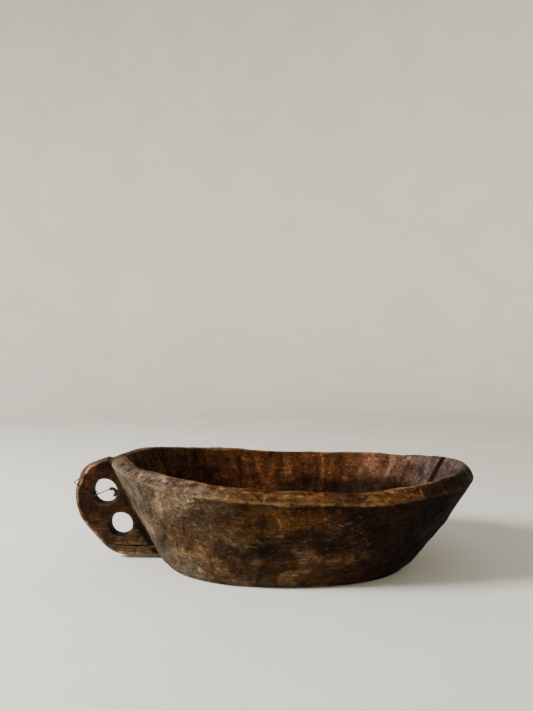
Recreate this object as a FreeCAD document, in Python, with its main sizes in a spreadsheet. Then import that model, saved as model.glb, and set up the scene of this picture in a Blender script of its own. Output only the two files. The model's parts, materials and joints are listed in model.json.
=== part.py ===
import FreeCAD, Part
import math
import os
import Sketcher

V = FreeCAD.Vector

# Feed scoop: an oval dugout bowl and its upright grip plate, carved from one block,
# with a thin wire tied through the upper finger hole and ending in a thick curl.
# Frame: X along the length (the grip is at -X), Y across, Z up. The origin is the
# centre of the flat base that the scoop stands on. Millimetres and degrees.

DIMENSIONS = [
    # the block's outer form, as three ovals: the top, then the waist and the base, each
    # with how far it draws in from the oval above it
    ("blank_length", 475), ("blank_width", 303), ("blank_spare", 5.6), ("blank_shift", 14),
    ("waist_inset_x", 45), ("waist_inset_y", 21), ("waist_level", 60), ("waist_shift", 7),
    ("base_inset_x", 43.5), ("base_inset_y", 20.5), ("base_edge_radius", 5),
    # the rim: a long sag, lowest a little right of the middle, and its worn outer bevel
    ("rim_low_height", 108), ("rim_low_x", 53), ("rim_sag_radius", 1447),
    ("bevel_drop", 12.5), ("bevel_width", 10.5),
    # the hollow: its wall, and how far the shoulder and the flat floor draw in
    ("wall_top", 15), ("wall_waist", 16),
    ("shoulder_level", 34), ("shoulder_inset_x", 34), ("shoulder_inset_y", 22),
    ("floor_thickness", 20), ("floor_inset_x", 49), ("floor_inset_y", 52.5),
    # the grip plate: its reach past the block's end, its outline, and its roots in the bowl
    ("grip_thickness", 20), ("grip_reach", 40), ("grip_edge_bevel", 4),
    ("bulge_radius", 62.8), ("bulge_height", 80.5),
    ("crown_radius", 23.7), ("crown_height", 96.5),
    ("heel_radius", 46), ("heel_inset", 68.5), ("foot_gap", 3.1),
    ("root_top_depth", 38.5), ("root_top_drop", 0.7), ("root_foot_depth", 14),
    # the finger holes, placed from the grip's outer tip
    ("upper_hole_radius", 15.4), ("upper_hole_inset", 37.8), ("upper_hole_height", 83.5),
    ("lower_hole_radius", 14.6), ("lower_hole_inset", 57.9), ("lower_hole_height", 43),
    ("hole_mouth_bevel", 1.5),
    # the drying cracks: one through the far end of the rim, one along the grip's foot
    ("rim_crack_width", 3.2), ("rim_crack_tip", 0.3), ("rim_crack_run", 60),
    ("rim_crack_depth", 36), ("rim_crack_rise", 4), ("rim_crack_y", 32),
    ("grip_crack_width", 1.0), ("grip_crack_depth", 4), ("grip_crack_height", 17),
    ("grip_crack_inset", 36), ("grip_crack_length", 62),
    # the tie wire and its curl; angles are about the upper hole's axis, from -X towards +Z
    ("wire_diameter", 1.2), ("wire_gap", 0.4), ("wire_slack", 1.2), ("wire_bend_radius", 2.5),
    ("wire_outer_angle", 18), ("wire_inner_angle", -25),
    ("curl_diameter", 3.2), ("curl_radius", 5), ("curl_gap", 1.6), ("curl_drop", 3),
    ("curl_sweep", 158),
]

# Distances that several features share, worked out from the sheet. Those of the grip are
# measured from the origin towards -X.
FAR_END = "(sizes.blank_length / 2 + sizes.blank_shift)"
NEAR_END = "(sizes.blank_length / 2 - sizes.blank_shift)"
WAIST_LENGTH = "(sizes.blank_length - 2 * sizes.waist_inset_x)"
WAIST_WIDTH = "(sizes.blank_width - 2 * sizes.waist_inset_y)"
BASE_LENGTH = f"({WAIST_LENGTH} - 2 * sizes.base_inset_x)"
BASE_WIDTH = f"({WAIST_WIDTH} - 2 * sizes.base_inset_y)"
GRIP_TIP = f"({NEAR_END} + sizes.grip_reach)"
ROOT_TOP = f"({NEAR_END} - sizes.root_top_depth)"
ROOT_FOOT = f"({BASE_LENGTH} / 2 - sizes.root_foot_depth)"
INNER_WAIST_LENGTH = f"({WAIST_LENGTH} - 2 * sizes.wall_waist)"
INNER_WAIST_WIDTH = f"({WAIST_WIDTH} - 2 * sizes.wall_waist)"

def rim_height(distance):
    """The height that the rim's sag has reached at a distance from its lowest place."""
    return f"(sizes.rim_low_height + {distance} ^ 2 / (2 * sizes.rim_sag_radius))"


NEAR_RIM = rim_height(f"({NEAR_END} + sizes.rim_low_x)")
FAR_RIM = rim_height(f"({FAR_END} - sizes.rim_low_x)")
BLANK_LEVEL = f"({NEAR_RIM} + sizes.blank_spare)"
ROOT_TOP_HEIGHT = f"({NEAR_RIM} - sizes.root_top_drop)"

# Sketcher's numbers for a point of a piece of geometry, and for the sketch's own origin
START, END, CENTRE = 1, 2, 3
ORIGIN = (-1, 1)
X_AXIS = -1

# two places count as the same, and an edge as flat, within this distance
CLOSE = 0.01


def make_sheet(doc):
    sheet = doc.addObject("Spreadsheet::Sheet", "sizes")
    for row, (alias, value) in enumerate(DIMENSIONS, start=1):
        sheet.set(f"A{row}", alias)
        sheet.set(f"B{row}", str(value))
        sheet.setAlias(f"B{row}", alias)
    doc.recompute()
    return sheet


def size_of(item, expression):
    return float(item.evalExpression(expression))


def new_sketch(body, name, role):
    plane = next(item for item in body.Origin.OriginFeatures if item.Role == role)
    sketch = body.newObject("Sketcher::SketchObject", name)
    sketch.AttachmentSupport = [(plane, "")]
    sketch.MapMode = "FlatFace"
    return sketch


def add_dimension(sketch, name, kind, places, expression):
    """A named constraint, bound to the sheet, that starts at its final value."""
    value = size_of(sketch, expression)
    index = sketch.addConstraint(Sketcher.Constraint(kind, *places, value))
    sketch.renameConstraint(index, name)
    sketch.setExpression(f"Constraints.{name}", expression)


def circle(x, y, radius):
    return Part.Circle(V(x, y, 0), V(0, 0, 1), radius)


def oval_sketch(body, name, level, length, width, shift):
    """An ellipse centred on the X axis, with its length along X and its width along Y."""
    sketch = new_sketch(body, name, "XY_Plane")
    sketch.setExpression("AttachmentOffset.Base.z", level)
    centre = V(size_of(sketch, shift), 0, 0)
    along = V(size_of(sketch, length) / 2, 0, 0)
    across = V(0, size_of(sketch, width) / 2, 0)
    ends = sorted((centre + along, centre + across), key=lambda p: -(p - centre).Length)
    sketch.addGeometry(Part.Ellipse(*ends, centre), False)
    sketch.exposeInternalGeometry(0)
    oval, longer, shorter = 0, 1, 2
    x_line, y_line = (longer, shorter) if along.Length >= across.Length else (shorter, longer)
    sketch.addConstraint(Sketcher.Constraint("Horizontal", x_line))
    sketch.addConstraint(Sketcher.Constraint("PointOnObject", oval, CENTRE, X_AXIS))
    add_dimension(sketch, "length", "Distance", [x_line], length)
    add_dimension(sketch, "width", "Distance", [y_line], width)
    add_dimension(sketch, "shift", "DistanceX", [*ORIGIN, oval, CENTRE], shift)
    return sketch


def loft(body, name, sketches):
    feature = body.newObject("PartDesign::AdditiveLoft", name)
    feature.Profile = sketches[0]
    feature.Sections = sketches[1:]
    feature.Ruled = False
    return feature


def edge_names(shape, test):
    return [f"Edge{i}" for i, edge in enumerate(shape.Edges, start=1) if test(edge)]


def make_bowl_blank(doc, sheet):
    """The bowl's outer form: the lofted block, its rim cut to the sag, and the rim's bevel."""
    body = doc.addObject("PartDesign::Body", "bowl_blank")
    base = oval_sketch(body, "base_oval", "0 mm", BASE_LENGTH, BASE_WIDTH, "0 mm")
    waist = oval_sketch(body, "waist_oval", "sizes.waist_level", WAIST_LENGTH, WAIST_WIDTH,
                        "sizes.waist_shift")
    top = oval_sketch(body, "top_oval", BLANK_LEVEL, "sizes.blank_length",
                      "sizes.blank_width", "sizes.blank_shift")
    loft(body, "block", [base, waist, top])
    doc.recompute()

    sag = new_sketch(body, "rim_sag", "XZ_Plane")
    centre_z = "(sizes.rim_low_height + sizes.rim_sag_radius)"
    sag.addGeometry(circle(sheet.rim_low_x, size_of(sheet, centre_z), sheet.rim_sag_radius), False)
    add_dimension(sag, "sag", "Radius", [0], "sizes.rim_sag_radius")
    add_dimension(sag, "low_x", "DistanceX", [*ORIGIN, 0, CENTRE], "sizes.rim_low_x")
    add_dimension(sag, "centre_z", "DistanceY", [*ORIGIN, 0, CENTRE], centre_z)
    cut = body.newObject("PartDesign::Pocket", "rim_cut")
    cut.Profile = sag
    cut.Type = "ThroughAll"
    cut.SideType = "Symmetric"
    doc.recompute()

    rim = edge_names(cut.Shape, lambda edge: edge.BoundBox.ZMin > sheet.waist_level)
    bevel = body.newObject("PartDesign::Chamfer", "rim_bevel")
    bevel.Base = (cut, rim)
    bevel.ChamferType = "Two distances"
    bevel.setExpression("Size", "sizes.bevel_drop")
    bevel.setExpression("Size2", "sizes.bevel_width")
    doc.recompute()

    foot = edge_names(bevel.Shape, lambda edge: edge.BoundBox.ZMax < CLOSE)
    rounding = body.newObject("PartDesign::Fillet", "base_edge")
    rounding.Base = (bevel, foot)
    rounding.setExpression("Radius", "sizes.base_edge_radius")
    doc.recompute()
    return body


def make_hollow(doc):
    """The space inside the bowl, from its flat floor to above the rim."""
    body = doc.addObject("PartDesign::Body", "hollow")
    floor = oval_sketch(body, "floor_oval", "sizes.floor_thickness",
                        f"{BASE_LENGTH} - 2 * sizes.floor_inset_x",
                        f"{BASE_WIDTH} - 2 * sizes.floor_inset_y", "sizes.waist_shift / 2")
    shoulder = oval_sketch(body, "shoulder_oval", "sizes.shoulder_level",
                           f"{INNER_WAIST_LENGTH} - 2 * sizes.shoulder_inset_x",
                           f"{INNER_WAIST_WIDTH} - 2 * sizes.shoulder_inset_y",
                           "sizes.waist_shift / 2")
    waist = oval_sketch(body, "inner_waist_oval", "sizes.waist_level",
                        INNER_WAIST_LENGTH, INNER_WAIST_WIDTH, "sizes.waist_shift")
    top = oval_sketch(body, "inner_top_oval", BLANK_LEVEL,
                      "sizes.blank_length - 2 * sizes.wall_top",
                      "sizes.blank_width - 2 * sizes.wall_top", "sizes.blank_shift")
    loft(body, "space", [floor, shoulder, waist, top])
    doc.recompute()
    return body


def arc_between(centre, radius, start, end):
    first, last = [math.atan2(p.y - centre.y, p.x - centre.x) for p in (start, end)]
    if last < first:
        last += 2 * math.pi
    return Part.ArcOfCircle(circle(centre.x, centre.y, radius), first, last)


def tangent_point(start, centre, radius, axis):
    """Where a straight line from start touches a circle, on the side that axis turns it to."""
    gap = centre - start
    run = math.sqrt(gap.Length ** 2 - radius ** 2)
    swing = FreeCAD.Rotation(axis, math.degrees(math.asin(radius / gap.Length)))
    return start + swing.multVec(gap).normalize() * run


def common_normal(first, first_radius, second, second_radius):
    """The direction from two circles' centres to their shared outer tangent line."""
    gap = second - first
    swing = math.degrees(math.acos((first_radius - second_radius) / gap.Length))
    return FreeCAD.Rotation(V(0, 0, -1), swing).multVec(gap).normalize()


def draw_grip_outline(sketch, sheet):
    """Top, crown, bulge, slope, heel and foot, closed by a root line inside the bowl's wall."""
    tip = -size_of(sketch, GRIP_TIP)
    bulge = V(tip + sheet.bulge_radius, sheet.bulge_height, 0)
    rise = sheet.crown_height - sheet.bulge_height
    apart = sheet.bulge_radius - sheet.crown_radius
    crown = bulge + V(-math.sqrt(apart ** 2 - rise ** 2), rise, 0)
    heel = V(tip + sheet.heel_inset, sheet.foot_gap + sheet.heel_radius, 0)
    slope = common_normal(bulge, sheet.bulge_radius, heel, sheet.heel_radius)
    root_top = V(-size_of(sketch, ROOT_TOP), size_of(sketch, ROOT_TOP_HEIGHT), 0)
    root_foot = V(-size_of(sketch, ROOT_FOOT), sheet.foot_gap, 0)
    top_end = tangent_point(root_top, crown, sheet.crown_radius, V(0, 0, -1))
    crown_end = bulge + (crown - bulge).normalize() * sheet.bulge_radius
    bulge_end = bulge + slope * sheet.bulge_radius
    slope_end = heel + slope * sheet.heel_radius
    foot_end = V(heel.x, sheet.foot_gap, 0)
    sketch.addGeometry([
        Part.LineSegment(root_top, top_end),
        arc_between(crown, sheet.crown_radius, top_end, crown_end),
        arc_between(bulge, sheet.bulge_radius, crown_end, bulge_end),
        Part.LineSegment(bulge_end, slope_end),
        arc_between(heel, sheet.heel_radius, slope_end, foot_end),
        Part.LineSegment(foot_end, root_foot),
        Part.LineSegment(root_foot, root_top),
    ], False)


def constrain_grip_outline(sketch):
    top, crown, bulge, slope, heel, foot, root = range(7)
    link = Sketcher.Constraint
    for first, second in ((top, crown), (crown, bulge), (bulge, slope), (slope, heel), (heel, foot)):
        sketch.addConstraint(link("Tangent", first, END, second, START))
    sketch.addConstraint(link("Coincident", foot, END, root, START))
    sketch.addConstraint(link("Coincident", root, END, top, START))
    sketch.addConstraint(link("Horizontal", foot))
    for name, line in (("crown_radius", crown), ("bulge_radius", bulge), ("heel_radius", heel)):
        add_dimension(sketch, name, "Radius", [line], f"sizes.{name}")
    for name, line, point, distance in (
            ("bulge_x", bulge, CENTRE, f"{GRIP_TIP} - sizes.bulge_radius"),
            ("heel_x", heel, CENTRE, f"{GRIP_TIP} - sizes.heel_inset"),
            ("root_foot_x", foot, END, ROOT_FOOT),
            ("root_top_x", top, START, ROOT_TOP)):
        add_dimension(sketch, name, "DistanceX", [line, point, *ORIGIN], distance)
    for name, line, point, distance in (
            ("foot_z", foot, START, "sizes.foot_gap"),
            ("bulge_z", bulge, CENTRE, "sizes.bulge_height"),
            ("crown_z", crown, CENTRE, "sizes.crown_height"),
            ("root_top_z", top, START, ROOT_TOP_HEIGHT)):
        add_dimension(sketch, name, "DistanceY", [*ORIGIN, line, point], distance)


def is_root_line(edge, sheet):
    """Whether an edge runs from the plate's root foot to its root top."""
    ends = [size_of(sheet, ROOT_TOP), size_of(sheet, ROOT_FOOT)]
    box = edge.BoundBox
    return abs(box.XMin + ends[0]) < CLOSE and abs(box.XMax + ends[1]) < CLOSE


def make_grip_blank(doc, sheet):
    """The upright plate, drilled for two fingers and eased along its outer edges."""
    body = doc.addObject("PartDesign::Body", "grip_blank")
    outline = new_sketch(body, "grip_outline", "XZ_Plane")
    draw_grip_outline(outline, sheet)
    constrain_grip_outline(outline)
    plate = body.newObject("PartDesign::Pad", "plate")
    plate.Profile = outline
    plate.SideType = "Symmetric"
    plate.setExpression("Length", "sizes.grip_thickness")
    doc.recompute()

    outer = edge_names(plate.Shape, lambda edge: edge.BoundBox.YLength < CLOSE
                       and not is_root_line(edge, sheet))
    ease = body.newObject("PartDesign::Chamfer", "eased_edge")
    ease.Base = (plate, outer)
    ease.setExpression("Size", "sizes.grip_edge_bevel")
    doc.recompute()

    circles = new_sketch(body, "finger_circles", "XZ_Plane")
    for index, hole in enumerate(("upper", "lower")):
        radius = f"sizes.{hole}_hole_radius"
        from_origin = f"{GRIP_TIP} - sizes.{hole}_hole_inset"
        height = f"sizes.{hole}_hole_height"
        circles.addGeometry(circle(-size_of(circles, from_origin), size_of(circles, height),
                                   size_of(circles, radius)), False)
        add_dimension(circles, f"{hole}_radius", "Radius", [index], radius)
        add_dimension(circles, f"{hole}_x", "DistanceX", [index, CENTRE, *ORIGIN], from_origin)
        add_dimension(circles, f"{hole}_z", "DistanceY", [*ORIGIN, index, CENTRE], height)
    drilled = body.newObject("PartDesign::Pocket", "finger_holes")
    drilled.Profile = circles
    drilled.Type = "ThroughAll"
    drilled.SideType = "Symmetric"
    doc.recompute()

    rims = edge_names(drilled.Shape, lambda edge: edge.isClosed() and edge.BoundBox.YLength < CLOSE)
    mouths = body.newObject("PartDesign::Chamfer", "hole_mouths")
    mouths.Base = (drilled, rims)
    mouths.setExpression("Size", "sizes.hole_mouth_bevel")
    doc.recompute()
    return body


def bind(item, expressions):
    for name, expression in expressions.items():
        item.setExpression(name, expression)


def make_cracks(doc):
    """Two drying cracks that follow the grain: one through the far end, one in the grip."""
    wedge = doc.addObject("Part::Wedge", "rim_crack")
    wedge.Xmin, wedge.X2min = 0, 0
    wedge.Ymin, wedge.Zmin, wedge.Z2min = 0, 0, 0
    wedge.Placement.Rotation = FreeCAD.Rotation(V(1, 0, 0), 90)
    bind(wedge, {
        "Xmax": "sizes.rim_crack_run",
        "X2max": "sizes.rim_crack_run",
        "Ymax": "sizes.rim_crack_depth",
        "Zmax": "sizes.rim_crack_tip",
        "Z2max": "sizes.rim_crack_width",
        "Placement.Base.x": f"{FAR_END} - sizes.rim_crack_run",
        "Placement.Base.y": "sizes.rim_crack_y",
        "Placement.Base.z": f"{FAR_RIM} - sizes.rim_crack_depth + sizes.rim_crack_rise",
    })

    slit = doc.addObject("Part::Box", "grip_crack")
    bind(slit, {
        "Length": "sizes.grip_crack_length",
        "Width": "sizes.grip_crack_depth",
        "Height": "sizes.grip_crack_width",
        "Placement.Base.x": f"sizes.grip_crack_inset - {GRIP_TIP}",
        "Placement.Base.y": "-sizes.grip_thickness / 2",
        "Placement.Base.z": "sizes.grip_crack_height",
    })
    return wedge, slit


def make_scoop(doc, sheet):
    """The carved wood is one piece: bowl and grip together, less the hollow and the cracks."""
    whole = doc.addObject("Part::Fuse", "bowl_and_grip")
    whole.Base = make_bowl_blank(doc, sheet)
    whole.Tool = make_grip_blank(doc, sheet)
    gaps = doc.addObject("Part::MultiFuse", "spaces")
    gaps.Shapes = [make_hollow(doc), *make_cracks(doc)]
    scoop = doc.addObject("Part::Cut", "scoop_body")
    scoop.Base = whole
    scoop.Tool = gaps
    doc.recompute()
    return scoop


def around_hole(sheet, radius, angle):
    """A point about the upper finger hole's axis; the angle runs from -X towards +Z."""
    hole_x = sheet.upper_hole_inset - size_of(sheet, GRIP_TIP)
    turn = math.radians(angle)
    return V(hole_x - radius * math.cos(turn), 0, sheet.upper_hole_height + radius * math.sin(turn))


def rounded_rectangle(reach, across, radius):
    """A closed path from the origin: up, out to the reach, down the far side and back."""
    corners = [V(0, across, 0), V(reach, across, 0), V(reach, -across, 0), V(0, -across, 0)]
    lines = []
    for index, corner in enumerate(corners):
        before, after = corners[index - 1], corners[(index + 1) % len(corners)]
        enter = corner + (before - corner).normalize() * radius
        leave = corner + (after - corner).normalize() * radius
        centre = enter + leave - corner
        middle = centre + (corner - centre).normalize() * radius
        lines.append(Part.Arc(enter, middle, leave))
        lines.append(Part.LineSegment(leave, after + (corner - after).normalize() * radius))
    return lines


def meeting_ends(sketch, first, second):
    """Which end of each of two pieces of a path is where they meet."""
    pairs = [(a, b) for a in (START, END) for b in (START, END)]
    return min(pairs, key=lambda pair: (sketch.getPoint(first, pair[0])
                                        - sketch.getPoint(second, pair[1])).Length)


def draw_closed_path(sketch, lines):
    sketch.addGeometry(lines, False)
    for index in range(len(lines)):
        following = (index + 1) % len(lines)
        here, there = meeting_ends(sketch, index, following)
        sketch.addConstraint(Sketcher.Constraint("Coincident", index, here, following, there))


def make_loop(doc, sheet, inner, outer):
    """The wire's closed loop, round the wood between the hole and the grip's edge."""
    body = doc.addObject("PartDesign::Body", "loop")
    tilt = math.degrees(math.atan2(outer.z - inner.z, inner.x - outer.x))
    body.Placement = FreeCAD.Placement(inner, FreeCAD.Rotation(V(0, 1, 0), 180 + tilt))
    path = new_sketch(body, "loop_path", "XY_Plane")
    across = sheet.grip_thickness / 2 + sheet.wire_gap + sheet.wire_diameter / 2
    draw_closed_path(path, rounded_rectangle((outer - inner).Length, across, sheet.wire_bend_radius))
    ring = new_sketch(body, "wire_section", "XZ_Plane")
    ring.addGeometry(circle(0, 0, sheet.wire_diameter / 2), False)
    ring.addConstraint(Sketcher.Constraint("Coincident", 0, CENTRE, *ORIGIN))
    add_dimension(ring, "diameter", "Diameter", [0], "sizes.wire_diameter")
    pipe = body.newObject("PartDesign::AdditivePipe", "loop_wire")
    pipe.Profile = ring
    pipe.Spine = path
    doc.recompute()
    return body


def make_tie_wire(doc, sheet, curl_centre):
    """The loop with its straight tail, and the place where the tail meets the curl."""
    inner_radius = sheet.upper_hole_radius - sheet.wire_gap - sheet.wire_diameter / 2
    outer_radius = sheet.upper_hole_inset + sheet.wire_slack + sheet.wire_diameter / 2
    inner = around_hole(sheet, inner_radius, sheet.wire_inner_angle)
    outer = around_hole(sheet, outer_radius, sheet.wire_outer_angle)
    curl_start = tangent_point(inner, curl_centre, sheet.curl_radius, V(0, -1, 0))
    tail = doc.addObject("Part::Cylinder", "tail")
    tail.setExpression("Radius", "sizes.wire_diameter / 2")
    tail.Height = (curl_start - inner).Length
    tail.Placement = FreeCAD.Placement(inner, FreeCAD.Rotation(V(0, 0, 1), curl_start - inner))
    wire = doc.addObject("Part::Fuse", "tie_wire")
    wire.Base = make_loop(doc, sheet, inner, outer)
    wire.Tool = tail
    return wire, curl_start


def find_curl_centre(sheet):
    """The curl sits on the far side of the hole, a little below its axis."""
    side = sheet.upper_hole_radius - sheet.curl_gap - sheet.curl_diameter / 2 - sheet.curl_radius
    return around_hole(sheet, 0, 0) + V(side, 0, -sheet.curl_drop)


def make_curl(doc, sheet, centre, start):
    """The thick curl on the wire's tail, lying in the plane of the grip."""
    curl = doc.addObject("Part::Torus", "wire_curl")
    curl.setExpression("Radius1", "sizes.curl_radius")
    curl.setExpression("Radius2", "sizes.curl_diameter / 2")
    curl.setExpression("Angle3", "sizes.curl_sweep")
    upright = FreeCAD.Rotation(V(1, 0, 0), 90)
    begin = math.degrees(math.atan2(start.z - centre.z, start.x - centre.x))
    turn = FreeCAD.Rotation(V(0, 0, 1), begin - sheet.curl_sweep)
    curl.Placement = FreeCAD.Placement(centre, upright * turn)
    return curl


def export_all(doc, subparts):
    for item in doc.Objects:
        if "Invalid" in item.State or "Error" in item.State:
            raise RuntimeError(f"{item.Name} did not compute: {item.State}")
    os.makedirs("parts", exist_ok=True)
    for item in subparts:
        if item.Shape.isNull() or not item.Shape.isValid():
            raise RuntimeError(f"{item.Label} has no valid shape")
        item.Shape.exportStep(f"parts/{item.Label}.step")
        box = item.Shape.optimalBoundingBox()
        print(f"{item.Label}: {len(item.Shape.Solids)} solid, {item.Shape.Volume:.1f} mm3, "
              f"X {box.XMin:.1f} {box.XMax:.1f} Y {box.YMin:.1f} {box.YMax:.1f} "
              f"Z {box.ZMin:.1f} {box.ZMax:.1f}")


def main():
    doc = FreeCAD.newDocument("feed_scoop")
    sheet = make_sheet(doc)
    scoop = make_scoop(doc, sheet)
    curl_centre = find_curl_centre(sheet)
    wire, curl_start = make_tie_wire(doc, sheet, curl_centre)
    curl = make_curl(doc, sheet, curl_centre, curl_start)
    doc.recompute()
    export_all(doc, [scoop, wire, curl])


main()
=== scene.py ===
import json
import math

import bmesh
import bpy
import numpy as np
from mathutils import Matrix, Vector, noise

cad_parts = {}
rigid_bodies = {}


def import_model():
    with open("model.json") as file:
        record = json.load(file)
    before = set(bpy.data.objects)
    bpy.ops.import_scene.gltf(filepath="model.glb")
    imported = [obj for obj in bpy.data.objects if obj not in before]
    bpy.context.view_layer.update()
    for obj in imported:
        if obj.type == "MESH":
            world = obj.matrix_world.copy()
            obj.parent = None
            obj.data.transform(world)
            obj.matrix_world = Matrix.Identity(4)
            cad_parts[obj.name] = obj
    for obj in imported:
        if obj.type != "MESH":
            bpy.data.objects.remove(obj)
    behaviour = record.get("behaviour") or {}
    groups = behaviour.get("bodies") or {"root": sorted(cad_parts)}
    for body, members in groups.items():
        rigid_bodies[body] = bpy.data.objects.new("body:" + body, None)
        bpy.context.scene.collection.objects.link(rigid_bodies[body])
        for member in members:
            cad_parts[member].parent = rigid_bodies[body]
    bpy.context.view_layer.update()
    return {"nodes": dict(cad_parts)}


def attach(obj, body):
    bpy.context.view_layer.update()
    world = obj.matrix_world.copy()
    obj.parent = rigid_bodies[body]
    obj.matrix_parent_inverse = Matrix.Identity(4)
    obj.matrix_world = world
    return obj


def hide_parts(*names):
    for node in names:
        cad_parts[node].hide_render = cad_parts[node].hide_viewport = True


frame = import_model()

# A carved wooden feed scoop. Lengths below are millimetres in the CAD frame: the origin is the
# centre of the flat base, X runs along the bowl away from the grip, Y across it and Z up.
MM = 0.001

# outer plan ovals: level, half length, half width, shift along X, squareness
BASE = (0.0, 149.0, 110.0, 0.0, 2.26)
WAIST = (60.0, 192.5, 130.5, 7.0, 2.16)
TOP = (140.0, 237.5, 151.5, 14.0, 2.04)
BASE_ROUND = 5.0
RIM_LOW_X, RIM_LOW_Z, RIM_SAG = 53.0, 108.0, 1447.0
RIM_LEVEL = 110.0  # where the rim's plan is taken
BEVEL_DROP, BEVEL_WIDTH = 12.5, 11.0
BEVEL_DROP_LOSS = 4.5  # how much less the bevel drops at the grip
BEVEL_FLATNESS = 0.45  # 1 is a straight slope, 0 a quarter round
LIP_FLAT = 2.0
LIP_GAIN = 6.0  # how much wider the lip is over the grip
WALL = 15.0
FLOOR_Z = 20.0
FLOOR_ROUND = 34.0
FLOOR_ROUND_SPREAD = 1.6
FLOOR_DISH = 2.0

GRIP_HALF = 10.0
GRIP_EASE = 5.0
TIP_X = -263.5
# the plate's outline: its root at the rim, three arcs (centre X and Z, radius), its root at the foot
ROOT_TOP = (-207.0, 131.5)
CROWN = (-236.4, 96.5, 23.7)
BULGE = (-200.7, 80.5, 62.8)
HEEL = (-195.0, 49.1, 46.0)
ROOT_FOOT = (-148.0, 3.1)
UPPER_HOLE = (TIP_X + 37.8, 83.5, 15.4)
LOWER_HOLE = (TIP_X + 57.9, 43.0, 14.6)
# across the plate: distance from its middle, and how far the hole's mouth flares there
HOLE_FLARE = [(-14, 3.0), (-10.4, 1.1), (-9.4, 0.4), (-8.0, 0.0), (0, 0), (8.0, 0.0),
              (9.4, 0.4), (10.4, 1.1), (14, 3.0)]
# the pared facet on the crown's near edge: heights it fades in and out, depth across the plate
FACET_LOW, FACET_HIGH = (88, 96), (112, 121)
FACET_FROM_Y = -3.0

VOXEL = 1.5
LEDGE_DEPTH = 1.3  # the wall was cut back under the rim's band
CHIP_DEPTH = 1.3
FLUTE_WIDTH = 17.0
MEAN_RADIUS, WIDTH_SHARE = 170.0, 0.66  # of the hollow, to measure round it

RIM_CRACK_Y = 36.0
RIM_CRACK_LEAN = 3.0
RIM_CRACK_FOOT_Z, RIM_CRACK_HEIGHT = 84.0, 42.0
RIM_CRACK_FOOT_X, RIM_CRACK_SLOPE = 186.0, 18.0  # its inner edge follows the wall outward
RIM_CRACK_END_X = 246.0
RIM_CRACK_OPENING = (2.2, 6.2)
GRIP_CRACK_X, GRIP_CRACK_LENGTH = -226.0, 70.0
GRIP_CRACK_Z, GRIP_CRACK_FALL = 17.6, 2.4
GRIP_CRACK_DEPTHS = (-3.5, -7.0, -12.0)
GRIP_CRACK_OPENING = (0.5, 2.4)

# the curl on the wire's tail
CURL_CENTRE = (-218.5, 80.5)
CURL_BEND = 4.7
CURL_DIAMETER = 4.2
CURL_START, CURL_SWEEP = 112, 158

# the camera is level and looks along +Y; its sensor and lens are in millimetres too
CAMERA_PLACE = (-23.8, -782.0, 253.2)
SENSOR_WIDTH = 36.0
LENS = 31.3924

LIGHT_TARGET = (0.0, 0.0, 0.06)  # metres, as the lights' places


def clean_scene():
    """Takes away any light or camera that was there before."""
    for obj in list(bpy.data.objects):
        if obj.type in ("LIGHT", "CAMERA"):
            bpy.data.objects.remove(obj)


def add_camera():
    data = bpy.data.cameras.new("camera")
    cam = bpy.data.objects.new("camera", data)
    bpy.context.scene.collection.objects.link(cam)
    data.sensor_width = SENSOR_WIDTH
    data.lens = LENS
    cam.location = [c * MM for c in CAMERA_PLACE]
    cam.rotation_euler = (math.radians(90), 0, 0)
    data.clip_start, data.clip_end = 0.01, 50
    bpy.context.scene.camera = cam


def between(z, low, middle, high):
    """A smooth curve through three (level, value) pairs."""
    (a, p), (b, q), (c, r) = low, middle, high
    return (p * (z - b) * (z - c) / ((a - b) * (a - c))
            + q * (z - a) * (z - c) / ((b - a) * (b - c))
            + r * (z - a) * (z - b) / ((c - a) * (c - b)))


def oval(z, angle, inset=0.0):
    """A point of the outer wall at one level, or of a line inside it."""
    half_length, half_width, shift, square = [
        between(z, (BASE[0], BASE[i]), (WAIST[0], WAIST[i]), (TOP[0], TOP[i]))
        for i in (1, 2, 3, 4)]
    c, s = np.cos(angle), np.sin(angle)
    x = shift + (half_length - inset) * np.sign(c) * np.abs(c) ** (2 / square)
    y = (half_width - inset) * np.sign(s) * np.abs(s) ** (2 / square)
    return x, y


def lip_height(x):
    """The rim sags between its two ends."""
    return RIM_LOW_Z + (x - RIM_LOW_X) ** 2 / (2 * RIM_SAG)


def bevel_drop(x):
    """The worn rim rounds off less near the grip."""
    return BEVEL_DROP - BEVEL_DROP_LOSS * step(-95, -205, x)


def lip_inset(x):
    """From the wall's outer face to the hollow; the wood is thickest over the grip."""
    return BEVEL_WIDTH + LIP_FLAT + LIP_GAIN * step(-110, -210, x)


def step(low, high, values):
    """0 below low, 1 above high and smooth between."""
    t = np.clip((values - low) / (high - low), 0, 1)
    return t * t * (3 - 2 * t)


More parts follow.
